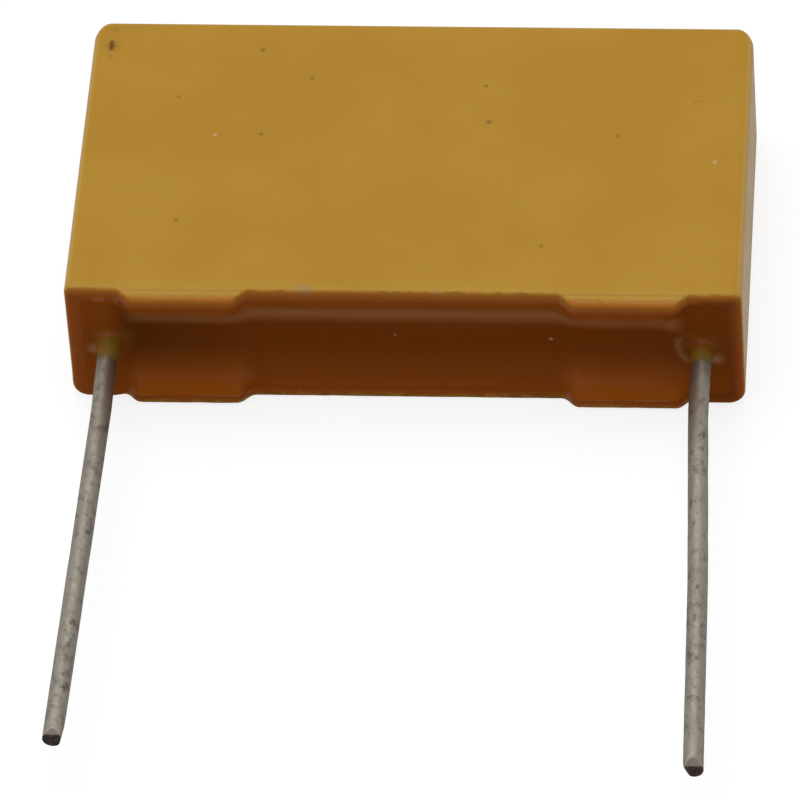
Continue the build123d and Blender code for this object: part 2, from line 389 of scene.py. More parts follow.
class Finish(Nodes):
    """Node material whose colour, body, is laid on coat by coat."""

    def __init__(self, name):
        self.material = bpy.data.materials.new(name)
        super().__init__(self.material)
        metres = self.value("Object", "ShaderNodeTexCoord")
        self.place = self.value(0, "ShaderNodeVectorMath", {0: metres, "Scale": 1.0 / MM}, operation="SCALE")
        self.x, self.y, self.z = self.split(self.place)
        self.facing_x, self.facing_y, self.facing_z = self.split(self.value("Normal", "ShaderNodeNewGeometry"))
        self.body = None

    def mix(self, factor, a, b):
        """Colour between a and b."""
        return self.value(2, "ShaderNodeMix", {0: factor, 6: a, 7: b}, data_type="RGBA")

    def lay(self, coat, mask):
        """Lays a colour over the body where the mask is 1."""
        self.body = self.mix(mask, self.body, coat)

    def grain(self, scale, detail=3.0, rough=0.55, stretch=None):
        """Noise, scale in cycles per millimetre; stretch lengthens it along an axis."""
        place = self.place
        if stretch:
            place = self.value(0, "ShaderNodeMapping", {"Vector": place, "Scale": stretch})
        inputs = {"Vector": place, "Scale": scale, "Detail": detail, "Roughness": rough}
        return self.value("Fac", "ShaderNodeTexNoise", inputs)

    def dots(self, scale, radius, chance):
        """Small round specks scattered in some of the cells of a grid."""
        cells = self.add("ShaderNodeTexVoronoi", {"Vector": self.place, "Scale": scale})
        pick = self.add("ShaderNodeSeparateColor", {0: Value(self, cells.outputs["Color"])})
        chosen = self.math("GREATER_THAN", Value(self, pick.outputs[0]), 1.0 - chance)
        spread = Value(self, pick.outputs[1]) * radius
        return chosen * self.math("LESS_THAN", Value(self, cells.outputs["Distance"]), spread)

    def away(self, place, centre):
        """Distance of a place from a point in millimetres."""
        return self.value("Value", "ShaderNodeVectorMath", {0: place, 1: centre}, operation="DISTANCE")

    def mark(self, centre, radius, soft=0.5, ragged=0.3):
        """One blot about a point in millimetres, 1 at its middle."""
        wobble = self.grain(2.2 / radius, 2.0).scaled(ragged * 2 * radius, -ragged * radius)
        return self.ramp(self.away(self.place, centre) + wobble, radius * (1 - soft), radius, 1.0, 0.0)

    def marks(self, centres, *shape):
        """Several blots of one shape."""
        return self.most(*(self.mark(centre, *shape) for centre in centres))

    def spots(self, *spots):
        """Several plain blots, each a point and a radius."""
        return self.most(*(self.mark(spot[:3], spot[3]) for spot in spots))

    def bump(self, *heights):
        """Chain of bumps: pairs of height and depth in millimetres."""
        normal = {}
        for height, depth in heights:
            inputs = {"Strength": 1.0, "Distance": depth * MM, "Height": height, **normal}
            normal = {"Normal": self.value(0, "ShaderNodeBump", inputs)}
        self.set(**normal)

    def set(self, **values):
        """Shader sockets by name, with _ for a space."""
        shader = self.tree.nodes["Principled BSDF"]
        for key, value in values.items():
            self.feed(shader.inputs[key.replace("_", " ")], value)

    def dress(self, **values):
        """Body as base colour, and other shader sockets."""
        self.set(Base_Color=self.body, **values)


def paint_rim_highlight(f, look):
    """Painted highlight across the left end of the rim, on the cup and on its resin."""
    spots = [(x, -7.0, 5.4) for x in (-11.8, -11.67, -11.54, -11.0)]
    f.lay(look.gleam, f.marks(spots, 0.19, 1.0, 0.35) * 0.45)


def polyester(look, cup):
    """Yellow ochre moulded plastic, stained by resin on its rim."""
    f = Finish("ochre polyester")
    rim, face = cup.rim, FRONT_FACE
    f.body = f.mix(f.ramp(f.grain(0.16, 2.0), 0.38, 0.62), look.plastic_deep, look.plastic)
    # painted reflection: narrow sides made paler where they face sideways
    f.lay(look.painted_side_reflection, f.ramp(abs(f.facing_x), 0.6, 1.0, 0.0, 0.14))
    # painted highlight on the rounded edges, away from the rim
    edges = f.ramp(f.facing_z, 0.98, 0.8) * f.ramp(f.facing_z, 0.15, 0.45) * f.ramp(f.y, rim + 0.05, rim + 0.5)
    f.lay(look.painted_edge_highlight, edges * 0.55)
    f.lay(look.plastic_deep, f.ramp(f.grain(5.0, 4.0), 0.3, 0.7, 0.0, 0.22))
    # plastic made paler towards the rim
    f.lay(look.paler_near_rim, f.ramp(f.y, rim + 0.7, rim + 0.05) * 0.18)

    # scorch by the closed end, specks, dust and pale marks
    burnt = f.most(*(f.mark((-12.15, 5.93 + 0.11 * k, face), 0.2 - 0.02 * abs(k - 1), 0.85) for k in range(4)))
    halo = f.most(f.mark((-12.13, 6.05, face), 0.5, 0.95), f.mark((-12.08, 6.95, 5.8), 0.26, 0.95))
    halo = f.most(halo, f.mark((-12.18, 5.5, face), 0.17, 0.9))
    streaks = f.marks([(10.75 + 0.12 * k, 3.3 + 0.05 * k, face) for k in range(3)], 0.11, 0.8)
    f.lay(look.scorch, f.most(burnt, halo * 0.3, streaks * 0.35) * 0.9)
    f.lay(look.speck_and_shade, f.spots(*((x, y, face, r) for x, y, r in SPECKS)) * 0.5)
    f.lay(look.speck_and_shade, f.dots(0.9, 0.06, 0.12) * 0.35)
    f.lay(look.pale_mark, f.spots((-7.75, 1.31, face, 0.1), (11.67, 0.1, 5.85, 0.16)) * 0.5)
    worn = f.most(f.mark((-3.74, -6.95, 5.95), 0.5, 0.8, 0.6), f.mark((1.31, -6.95, 5.95), 0.2, 0.8, 0.6))
    f.lay(look.worn, worn * 0.45)

    # resin stain on the rim, with a ragged edge
    half, _, front = cup.section(rim)
    teeth = f.grain(2.2, 5.0, 0.75).scaled(0.9, -0.45)
    on_foot = f.ramp(f.y, rim - 0.08, rim - 0.3, 0.0, -0.55)
    towards = f.ramp(f.facing_y + teeth + on_foot, -0.3, -0.97)
    low = f.ramp(f.y, rim + 0.4, rim + 0.15)
    outer_end = f.ramp(abs(f.x), cup.foot_outer - 0.1, cup.foot_outer + 0.3, 0.0, 0.3)
    stain = towards * low * f.ramp(f.z + outer_end + teeth, 0.02, 0.42)
    front_gap, side_gap = front - f.z, half - abs(f.x)
    fresh = f.ramp(front_gap + teeth * 0.25, 0.5, 0.12, 0.0, 0.3)
    f.lay(look.rim_stain, stain * (0.97 - fresh))

    # resin run over the rim, and the inside of the wall
    edge_gap = f.least(front_gap, side_gap, f.z)
    ends = f.most(f.ramp(f.x, half - cup.foot_inset, half - 1.3), f.ramp(f.x, 1.6 - half, 0.7 - half, 0.0, 0.4))
    covered = stain * f.ramp(f.facing_y, -0.8, -0.97) * ends * f.ramp(teeth.scaled(0.12, edge_gap), 0.1, 0.45)
    f.lay(look.resin, covered * 0.85)
    inner_tone = f.mix(f.ramp(f.x, 9.5, 11.0), look.resin_edge, look.resin)
    f.lay(inner_tone, f.ramp(edge_gap, cup.wall - 0.12, cup.wall - 0.03) * low)

    # edges: painted light on the lower edge of the lower feet, a painted highlight across the left end of the rim,
    # dirt on the verge of the stain, and a painted shade line along the rim
    # painted light on the lower outer edge of the lower feet
    painted_brim_light = stain * f.ramp(f.z, 0.42, 0.12) * 0.4
    f.lay(look.painted_brim_light, painted_brim_light * f.ramp(f.y, rim - 0.1, rim - 0.4))
    paint_rim_highlight(f, look)
    verge = stain * (1.0 - stain) * 1.6 * on_foot.scaled(2.0, 1.0)
    f.lay(look.speck_and_shade, verge * f.ramp(f.grain(1.7, 3.0), 0.4, 0.65))
    # painted shade: a dark line along the rim line, where the feet rise
    root_shade_line = f.ramp(abs(f.y - rim), 0.05, 0.02) * 0.22
    f.lay(look.speck_and_shade, root_shade_line * f.ramp(f.facing_y, -0.6, -0.3))
    f.dress(Roughness=f.ramp(f.grain(1.1, 4.0), 0.3, 0.7, 0.38, 0.52), Specular_IOR_Level=0.12)
    f.set(Subsurface_Weight=0.1, Subsurface_Scale=0.0004, Subsurface_Radius=(1.0, 0.35, 0.08))
    f.set(Sheen_Weight=0.3, Sheen_Roughness=0.35, Sheen_Tint=(1.0, 0.86, 0.76))
    f.bump((f.grain(0.55, 2.0), 0.02), (f.grain(7.0, 4.0), 0.003), (f.dots(1.6, 0.05, 0.2), 0.006))
    return f.material


def potting_resin(look, pour):
    """Amber brown glossy resin, thinner and lighter at its edges and olive over the wires."""
    f = Finish("amber resin")
    left, right = pour.leads.left, pour.leads.right
    rim, middle = pour.leads.rim, pour.leads.middle
    f.body = f.mix(f.ramp(f.x + f.grain(0.5, 2.0) * 2.0, left + 1.6, left + 8.5), look.resin_deep, look.resin)

    # paler over the walls where the resin is thin, with painted light coming through it; painted light, lighter
    # towards the lower wall and through the resin over the lower feet; a painted highlight under the front wall
    wander = f.grain(1.2, 3.0).scaled(0.3, -0.15)
    reach, front_gap, back_gap = abs(f.x), pour.front - f.z, f.z - pour.back
    gap = f.least(f.least(front_gap, back_gap) + wander, pour.half - reach)
    # resin paler along the walls and at the left end: thin resin, with painted light coming through it
    at_wall = f.ramp(gap, 0.12, 0.55, 0.85, 0.0) * f.ramp(f.x, 9.5, 11.0, 1.0, 0.12)
    f.lay(look.resin_edge, f.most(at_wall, f.ramp(f.x, left + 1.0, left - 0.3, 0.0, 0.72)))
    # painted light: resin lighter towards the lower wall
    f.lay(look.resin_edge, f.ramp(back_gap, 2.4, 0.2, 0.0, 0.5))
    swell = f.ramp(reach, *pour.climb_in) * f.ramp(reach, *pour.climb_out)
    f.lay(look.resin_warm, swell * f.ramp(back_gap, 2.0, -0.3) * 0.9)
    lip = swell.scaled(pour.foot_lip, pour.lip)
    down = (front_gap - lip) / swell.scaled(pour.foot_flank - pour.foot_lip, pour.meniscus)
    # painted highlight where the resin turns in under the front wall
    streak = f.ramp(swell.scaled(0.14, down), -0.12, 0.24) * f.ramp(swell.scaled(0.06, down), 0.96, 0.4)
    f.lay(look.resin_lip_highlight, streak * f.ramp(reach, 10.9, 10.2) * 0.62)
    # painted highlight along the lower lip of the resin over the lower feet
    painted_brim_light = f.ramp(abs(wander.scaled(0.4, back_gap)), 0.1, 0.02, 0.0, 0.4)
    f.lay(look.gleam, painted_brim_light * swell * f.ramp(f.grain(1.3, 3.0), 0.4, 0.55))

    # collars round the wires and the film of resin over them
    flat = f.value(0, "ShaderNodeCombineXYZ", {0: f.x, 2: f.z})
    wires, halos = [], []
    for x in (left + 0.08, right):
        away = f.grain(2.4, 2.0).scaled(0.16, f.away(flat, (x, 0, middle + 0.06)))
        wires.append(f.ramp(away, 0.48, 0.66, 1.0, 0.0))
        halos.append(f.ramp(away, 0.6, 1.25, 0.4, 0.0))
    halo = f.most(*halos)
    f.lay(look.resin_halo, halo)
    over = f.most(*wires) * f.ramp(f.grain(2.0, 3.0), 0.2, 0.5, 0.75, 1.0)
    high = f.ramp(f.x, -1.0, 1.0).scaled(0.2, f.y)
    f.lay(look.resin_wire, over * f.ramp(high, rim + 0.02, rim - 0.32))

    # painted highlights by the wires and across the left end of the rim, and pale and dark specks
    sheen = f.mark((left - 0.55, rim - 0.04, 2.62), 0.46, 1.0, 0.15) * 0.75
    patch = f.mark((right + 0.52, rim, 2.42), 0.46, 0.95, 0.3) * 0.6
    arc = f.ramp(abs(away - 1.0), 0.0, 0.24, 0.3, 0.0) * f.ramp(f.x, right - 0.3, right - 0.7)
    arc = arc * f.ramp(f.z, middle + 0.75, middle + 0.2)
    f.lay(look.gleam, f.most(sheen, patch, arc))
    paint_rim_highlight(f, look)
    f.lay(look.resin_pale, f.spots((5.58, -6.5, 3.0, 0.12), (-0.4, -6.5, 3.15, 0.1)) * 0.5)
    dark = f.spots((5.04, -6.5, 1.86, 0.1), (6.2, -6.5, 1.03, 0.1), (2.52, -6.5, 0.7, 0.12))
    f.lay(look.resin_speck, dark * 0.6)
    rough = f.ramp(f.grain(1.3, 3.0), 0.3, 0.7, 0.2, 0.27)
    f.dress(Roughness=halo.scaled(0.4, rough), Specular_IOR_Level=0.22)
    f.set(Subsurface_Weight=0.08, Subsurface_Scale=0.0006, Subsurface_Radius=(1.0, 0.3, 0.05))
    f.bump((f.grain(0.5, 2.0), 0.006), (f.grain(5.0, 2.0), 0.0006))
    return f.material


def tinned_wire(look, leads, tips):
    """Dull tin on drawn wire: flecks, draw marks, painted shade on its start and inner side, and a dark sheared end,
    partly painted shade.
    """
    f = Finish("dull tinned wire")
    rim = leads.rim
    flecks = f.ramp(f.grain(3.2, 5.0, 0.72, (1.0, 0.7, 1.0)), 0.46, 0.72)
    streaks = f.ramp(f.grain(5.0, 3.0, 0.6, (1.0, 0.12, 1.0)), 0.4, 0.8, 0.0, 0.4)
    f.body = f.mix(f.most(flecks, streaks), look.wire, look.dark_tin_and_shade)
    inner = (leads.right - leads.left) / 2 + 0.25 - abs(f.x)
    # painted shade and reflection: inner sides and start of the wires darker
    stained = f.ramp(inner, 0.0, 0.45) * f.ramp(f.y + f.grain(2.0, 3.0), rim - 7.0, rim - 1.0)
    f.lay(look.painted_wire_shade, f.most(f.ramp(f.y, rim - 2.6, rim - 0.9, 0.0, 0.5), stained))
    # sheared end: cut metal, darkened as painted shade
    cut = f.marks(tips, 0.62, 0.1, 0.0) * f.ramp(f.facing_y, -0.7, -0.9)
    f.lay(f.mix(f.ramp(f.grain(6.0, 4.0), 0.4, 0.6), look.shaded_cut_end, look.cut_pale), cut)
    # pressed flanks by the tip: duller metal, darkened as painted shade
    pressed = f.marks(tips, 1.3, 0.3, 0.0) * f.ramp(f.facing_y, -0.2, -0.4) * f.ramp(f.facing_y, -0.7, -0.6)
    f.lay(look.dark_tin_and_shade, pressed * 0.75)
    reach = f.grain(1.6, 2.0).scaled(0.4, f.ramp(f.x, -1.0, 1.0).scaled(-0.22, f.y))
    coat = f.ramp(reach, rim - 0.98, rim - 0.85)
    f.lay(look.resin_coat, coat * 0.95)
    dull = f.most(cut, pressed, stained * 0.7, coat * 1.4)
    f.dress(Metallic=dull.scaled(-0.4, 0.6), Roughness=f.ramp(f.grain(3.0, 4.0, 0.65), 0.3, 0.7, 0.5, 0.68))
    f.bump((f.grain(2.6, 5.0, 0.7), 0.022), (f.grain(6.0, 3.0, 0.6, (1.0, 0.1, 1.0)), 0.005))
    return f.material


def wound_film():
    """Metallised film, seen edge on as fine turns."""
    f = Finish("metallised film")
    turns = f.ramp(f.grain(6.0, 2.0, 0.5, (0.05, 1.0, 1.0)), 0.3, 0.7)
    f.body = f.mix(turns, (0.62, 0.64, 0.66), (0.42, 0.44, 0.47))
    f.dress(Metallic=0.35, Roughness=f.ramp(f.grain(1.5, 3.0), 0.3, 0.7, 0.25, 0.45))
    f.bump((turns, 0.01))
    return f.material


def grained_metal(name, grain, spread, tones, metallic, rough, depth):
    """Metal whose tone, roughness and height all follow one grain."""
    f = Finish(name)
    pits = f.grain(*grain)
    f.body = f.mix(f.ramp(pits, *spread), *tones)
    f.dress(Metallic=metallic, Roughness=f.ramp(pits, 0.3, 0.7, *rough))
    f.bump((pits, depth))
    return f.material


def sprayed_zinc():
    """Rough sprayed metal."""
    tones = (0.20, 0.20, 0.21), (0.45, 0.45, 0.46)
    return grained_metal("sprayed zinc", (7.0, 5.0, 0.75), (0.35, 0.65), tones, 0.7, (0.55, 0.85), 0.05)


def solder_metal():
    """Bright solder with a faint frost."""
    tones = (0.62, 0.61, 0.59), (0.42, 0.41, 0.39)
    return grained_metal("solder", (3.5, 4.0, 0.6), (0.4, 0.7), tones, 0.95, (0.16, 0.38), 0.015)


def table_top():
    """Plain pale table that keeps a soft shadow; reflections look past it at the surround."""
    f = Finish("pale table")
    path = f.add("ShaderNodeLightPath")
    camera, through, glossy = (Value(f, path.outputs[f"Is {ray} Ray"]) for ray in RAYS)
    seen = f.most(camera, through)
    f.body = f.mix(f.grain(0.01, 2.0), (0.60, 0.60, 0.60), (0.61, 0.61, 0.61))
    f.lay((0.22, 0.22, 0.22), seen)
    f.dress(Roughness=0.9, Specular_IOR_Level=0.1, Alpha=1.0 - glossy)
    f.set(Emission_Color=(1.0, 1.0, 1.0), Emission_Strength=seen * 0.82)
    return f.material


# ---------------------------------------------------------------- the cup


INWARDS = {"front": -1.0, "back": 1.0}  # direction from a long side to the middle of the cup
BODY_RINGS = (0.93, 0.86, 0.79, 0.72, 0.65, 0.58, 0.51, 0.44, 0.37, 0.3, 0.24, 0.18)  # shares of the outside
FOOT_RINGS = (  # height in foot heights, and how far the ring follows the feet
    *((2.6, 0.3), (1.8, 0.65), (1.3, 0.9), (1.1, 1.0)),
    *((1.02, 1.0), (0.98, 1.0), (0.85, 1.0), (0.65, 1.0)),
)
WALL_RINGS = (0.5, 0.65, 0.8, 0.92, 1.0)  # shares of the wall's thickness
MOUTH_RINGS = (0.03, 0.12, 0.3)  # depths inside the rim
INSIDE_RINGS = (0.06, 0.12, 0.2, 0.35, 0.5, 0.65, 0.8, 1.0)  # shares of the inside


class Cup:
    """Outline of the moulded cup at any height, in millimetres."""

    def __init__(self, sizes):
        take_sizes(self, sizes)
        self.seat = CUP_LOW.y / MM
        self.end = CUP_HIGH.y / MM
        self.rim = self.seat + self.foot_height
        self.half = CUP_HIGH.x / MM + self.side_draft * self.foot_height / (self.end - self.seat)
        self.top = CUP_HIGH.z / MM
        self.foot_outer = self.half - self.foot_inset
        self.foot_inner = self.foot_outer - self.foot_length

    def section(self, y, inset=0.0):
        """Half width, back and front of the outline at height y."""
        rise = (y - self.seat) / (self.end - self.seat)
        half = self.half - self.side_draft * rise - inset
        return half, inset, self.top - self.front_draft * rise - inset

    def foot(self, x, soften=0.3):
        """1 over a foot, 0 between the feet, with slightly rounded corners."""
        total = 0.0
        for shift in SOFT_STEPS:
            at = np.abs(x) + shift * soften * self.foot_slant
            rise = np.clip((at - self.foot_inner) / self.foot_slant, 0, 1)
            fall = np.clip((self.foot_outer - at) / self.foot_slant, 0, 1)
            total = total + np.minimum(rise, fall)
        return total / len(SOFT_STEPS)

    def rim_line(self, x):
        """Height of the rim over x, feet included."""
        return self.rim - self.foot_height * self.foot(x)

    def coat(self, x, z):
        """How far resin builds out the lower rim past the outer end of a foot."""
        overlap, onset, height = 0.2, 0.7, 1.6
        past = smooth((np.abs(x) - self.foot_outer + overlap) / onset)
        return self.end_coat * past * (1.0 - smooth(z / height))

    def lean(self, y):
        """How far a long face of a foot leans in at height y."""
        return self.foot_lean * min(max(self.rim - y, 0.0) / self.foot_height, 1.0)


def outline_stations(cup):
    """Stations round the outline: front, right corner, right side, and so on, as (part, share)."""
    near = 0.25
    marks = [0.0, cup.foot_inner - near, cup.foot_inner + cup.foot_slant + near]
    marks += [cup.foot_outer - cup.foot_slant - near, cup.foot_outer + near, cup.half - cup.front_edge]
    steps = [14, 13, 12, 13, 5]
    half_line = [0.0]
    for low, high, count in zip(marks, marks[1:], steps):
        half_line += [low + (high - low) * (i + 1) / count for i in range(count)]
    line = [-x for x in reversed(half_line[1:])] + half_line
    side = [i / 16 for i in range(17)]
    arc = [i / 8 for i in range(1, 8)]
    runs = {"front": line, "front right": arc, "right": side, "back right": arc}
    runs |= {"back": line[::-1], "back left": arc, "left": side, "front left": arc}
    return [(part, t) for part, run in runs.items() for t in run]


def outline_point(station, half, back, front, front_r, back_r, keep):
    """Point of a rounded outline for one station; x stays put up to keep and is squeezed beyond."""
    part, t = station
    if part in INWARDS:
        limit = half - (front_r if part == "front" else back_r)
        x = abs(t)
        if x > keep[0]:
            x = keep[0] + (x - keep[0]) * (limit - keep[0]) / (keep[1] - keep[0])
        return math.copysign(x, t), front if part == "front" else back
    side, down = (1, t) if "right" in part else (-1, 1 - t)
    if part in ("left", "right"):
        return side * half, (front - front_r) + (back + back_r - front + front_r) * down
    at_front = "front" in part
    radius = front_r if at_front else back_r
    turn = math.pi / 2 * (1 - down if at_front else down)
    short = radius - radius * math.sin(turn)
    return side * (half - radius + radius * math.cos(turn)), front - short if at_front else back + short


def rounding(radius, y, end):
    """How far an edge rounding has pulled the surface in at height y."""
    into = y - (end - radius)
    if into <= 0:
        return 0.0
    return radius - math.sqrt(max(radius * radius - into * into, 0.0))


def cup_mesh(cup):
    """Points and faces of the whole cup: outside, rim with feet, inside and both ends."""
    stations = outline_stations(cup)
    count = len(stations)
    keep = (11.3, cup.half - cup.front_edge)
    least_radius = 0.02
    corner = cup.plan_corner
    verts, faces, rings = [], [], []

    def add_ring(section, front_r, back_r, point):
        """Ring of the outline of a section; point gives the place for a station, x and z."""
        rings.append(len(verts))
        for station in stations:
            x, z = outline_point(station, *section, front_r, back_r, keep)
            verts.append(point(station[0], x, z))

    def outer_ring(y, along=0.0):
        """Outside of the cup; along is the share of the foot profile that the ring still follows."""
        half, back, front = cup.section(y)
        half -= rounding(corner, y, cup.end)
        front -= rounding(cup.front_edge, y, cup.end)
        back += rounding(cup.back_edge, y, cup.end)
        left = 1.0 - rounding(corner, y, cup.end) / corner

        def point(part, x, z):
            height = y + (cup.rim_line(x) - cup.rim) * along if part in INWARDS else y
            return [x, height, z + INWARDS.get(part, 0.0) * cup.lean(height)]

        section = (half, back, front)
        add_ring(section, *(max(edge * left, least_radius) for edge in (cup.front_edge, cup.back_edge)), point)

    def rim_ring(inset, depth):
        """Ring on the rim, inset from the outside and depth below the rim line."""
        across = inset / cup.wall
        front_r = cup.front_edge + (cup.inner_edge - cup.front_edge) * across
        back_r = cup.back_edge + (cup.inner_edge - cup.back_edge) * across

        def point(part, x, z):
            base = cup.rim_line(x) if part in INWARDS else cup.rim
            chips = max(0.0, drift(x, 0.0, z, 1.3, 7.0) - 0.15) + max(0.0, drift(x, 0.0, z, 4.1, 3.0) - 0.2) * 0.5
            worn = cup.rim_wear * chips * 2.0 * max(0.0, 1.0 - across * 1.5)
            z += INWARDS.get(part, 0.0) * cup.lean(base) * (1.0 - across)
            return [x, base - float(cup.coat(x, z)) + depth + worn, z]

        add_ring(cup.section(cup.rim, inset), front_r, back_r, point)

    for i in range(9, -1, -1):
        outer_ring(cup.end - corner + corner * math.sin(i / 9 * math.pi / 2))
    for t in BODY_RINGS:
        outer_ring(cup.rim + (cup.end - corner - cup.rim) * t)
    for above, along in FOOT_RINGS:
        outer_ring(cup.rim + cup.foot_height * above, along)
    for i in range(8):
        t = i / 7 * math.pi / 2
        rim_ring(cup.rim_round * (1 - math.cos(t)), cup.rim_round * (1 - math.sin(t)))
    for across in WALL_RINGS:
        rim_ring(cup.wall * across, 0.0)
    for depth in MOUTH_RINGS:
        rim_ring(cup.wall, depth)
    top = cup.rim + 0.5
    for t in INSIDE_RINGS:
        y = top + (cup.end - cup.end_wall - top) * t
        add_ring(cup.section(y, cup.wall), cup.inner_edge, cup.inner_edge, lambda part, x, z: [x, y, z])
    for first, second in zip(rings, rings[1:]):
        faces.extend(ring_faces(first, second, count))
    for first in (rings[0], rings[-1]):
        close_end(verts, faces, first, stations)
    settle_faces(cup, verts)
    return verts, faces


def close_end(verts, faces, first, stations):
    """Flat end as a grid between the front and back runs of a ring."""

    def run(side):
        return [first + i for i, (part, _) in enumerate(stations) if side(part)]

    front, back = run(lambda part: part == "front"), run(lambda part: part == "back")[::-1]
    right, left = run(lambda part: "right" in part), run(lambda part: "left" in part)[::-1]
    columns = [[front[0], *left, back[0]]]
    high, low = verts[front[0]][2], verts[back[0]][2]
    for top, bottom in list(zip(front, back))[1:-1]:
        column = [top]
        for beside in left:
            down = (verts[beside][2] - high) / (low - high)
            verts.append([a + (b - a) * down for a, b in zip(verts[top], verts[bottom])])
            column.append(len(verts) - 1)
        columns.append([*column, bottom])
    columns.append([front[-1], *right, back[-1]])
    for one, other in zip(columns, columns[1:]):
        for k in range(len(left) + 1):
            faces.append((one[k], other[k], other[k + 1], one[k + 1]))


def settle_faces(cup, verts):
    """Sinks and faint waves of the mould in the large faces, always inwards."""
    close, half_width, half_height, middle = 0.004, 11.8, 6.4, 0.3
    for v in verts:
        x, y, z = v
        near_front = z > cup.section(y)[2] - close
        near_back = z < close
        if not (near_front or near_back) or y < cup.rim + 0.3:
            continue
        across = max(0.0, 1 - (x / half_width) ** 2)
        along = max(0.0, 1 - ((y - middle) / half_height) ** 2)
        dip = cup.sink * across * along * (0.8 + 0.4 * drift(x, y, 0, 0.12, 4.0))
        v[2] += dip * (-1 if near_front else 0.5)


# ---------------------------------------------------------------- the resin


class Pour:
    """Height of the resin over the open end, in millimetres."""

    def __init__(self, cup, sizes, leads):
        self.cup = cup
        self.leads = leads
        take_sizes(self, sizes)
        self.floor = cup.rim + self.dish_depth
        self.half, self.back, self.front = cup.section(cup.rim, cup.wall)
        start, stop = cup.foot_inner - self.foot_reach, cup.foot_outer + self.foot_reach
        self.climb_in = (start, start + self.foot_climb)
        self.climb_out = (stop, stop - self.foot_climb)

    def swell(self, x):
        """1 along a foot and 0 away from it, changing gently."""
        x = np.abs(x)
        (in_low, in_high), (out_low, out_high) = self.climb_in, self.climb_out
        return smooth((x - in_low) / (in_high - in_low)) * smooth((x - out_low) / (out_high - out_low))

    def surface(self, x, z):
        """Height y of the resin at x, z."""
        cup, leads = self.cup, self.leads
        wall_curve, tilt, tilt_turn, lumps = 0.4, 0.08, 3.6, 0.03
        from_wall = np.minimum(self.front - z, z - self.back)
        from_side = self.half - np.abs(x)
        swell = self.swell(x)
        lip = self.lip + self.foot_lip * swell
        run = self.meniscus + self.lip - lip + self.foot_flank * swell
        kept = 0.0
        for shift in SOFT_STEPS:
            into = from_wall + shift * self.lip_round - lip
            kept = kept + (1.0 - np.clip(into / run, 0, 1)) ** 2 / len(SOFT_STEPS)
        on_lip = np.clip(from_wall / lip, 0, 1)
        wall = 1.0 - np.clip(np.minimum(from_wall, from_side) / wall_curve, 0, 1)
        past_left = (x - leads.left - leads.radius) / self.left_end
        past_right = (leads.right - leads.radius - x) / self.right_end
        dish = smooth(past_left) * smooth(past_right)
        foot = cup.foot(x) * (1 - on_lip**2) + swell * on_lip**2
        raised = foot * (cup.foot_height - self.foot_roll * on_lip**2) * kept
        height = raised - (self.dish_depth * (1 - kept)) * dish
        height = height - self.drop * (1 - smooth(wall)) * (1 - dish) + cup.coat(x, z)
        collars = (
            (leads.left, self.left_collar, self.left_hollow),
            (leads.right, self.right_collar, self.right_hollow),
        )
        for centre, reach, hollow in collars:
            away = np.hypot(x - centre, z - leads.middle)
            share_up = np.clip((reach - away) / (reach - leads.radius), 0, 1)
            turn = np.arctan2(z - leads.middle, x - centre)
            uneven = tilt * np.cos(turn - tilt_turn) * np.sign(centre) + lumps * np.cos(3 * turn)
            top = self.collar_rise * (1.0 + uneven)
            collar = (top + self.dish_depth) * share_up**hollow
            base = height + self.dish_depth
            height = (np.maximum(base, 0.0) ** 3 + collar**3) ** (1 / 3) - self.dish_depth
        return cup.rim - height

    def rows(self):
        """Rows from a wall to the middle, as (share of the lip, share of the way from the lip inwards)."""
        lip = [(k / 7, 0.0) for k in range(8)]
        return lip + [(1.0, (k / 19) ** 1.25) for k in range(1, 20)]

    def station(self, x, across, j):
        """Place z of row j at x; rows keep to the lip where it widens."""
        last = len(across) - 1
        along_lip, inwards = across[j if j <= last else 2 * last - j]
        lip = self.lip + self.foot_lip * float(self.swell(x)) + self.lip_round
        gap = lip * along_lip + ((self.front - self.back) / 2 - lip) * inwards
        return self.back + gap if j <= last else self.front - gap


def resin_mesh(pour):
    """Closed block of resin: detailed open surface, walls along the cup and a flat inner end."""
    leads = pour.leads
    work = bmesh.new()
    columns, hole, overlap, ripple = 340, 0.86, 0.05, 0.02
    across = pour.rows()
    rows = 2 * len(across) - 2
    grid = {}
    for i in range(columns + 1):
        for j in range(rows + 1):
            x = -pour.half + 2 * pour.half * i / columns
            x, z = round_in(x, pour.station(x, across, j), pour, pour.cup.inner_edge)
            if min(math.hypot(x - c, z - leads.middle) for c in (leads.left, leads.right)) > hole:
                wave = ripple * drift(x, 0, z, 0.5, 11.0) * min(1.0, max(0.0, edge_gap(pour, x, z)))
                grid[i, j] = work.verts.new((x, float(pour.surface(x, z)) + wave, z))
    for i in range(columns):
        for j in range(rows):
            corners = [grid.get(k) for k in ((i, j), (i + 1, j), (i + 1, j + 1), (i, j + 1))]
            if all(corners):
                work.faces.new(corners)
    bmesh.ops.delete(work, geom=[v for v in work.verts if not v.link_faces], context="VERTS")
    outer_edges = [e for e in work.edges if e.is_boundary]
    for centre in (leads.left, leads.right):
        opening = [e for e in outer_edges if all(near(v, centre, leads.middle, 1.0) for v in e.verts)]
        outer_edges = [e for e in outer_edges if e not in opening]
        collar = collar_patch(work, pour, centre, hole - overlap)
        bmesh.ops.bridge_loops(work, edges=opening + collar)
    add_block(work, pour, outer_edges)
    bmesh.ops.scale(work, vec=(MM, MM, MM), verts=work.verts)
    mesh = bpy.data.meshes.new("resin")
    work.to_mesh(mesh)
    work.free()
    return mesh


def edge_gap(pour, x, z):
    """Distance from the nearest wall of the cup."""
    return min(pour.front - z, z - pour.back, pour.half - abs(x))


def near(vert, x, z, reach):
    """Whether a point lies within reach of a lead's axis."""
    return math.hypot(vert.co.x - x, vert.co.z - z) < reach


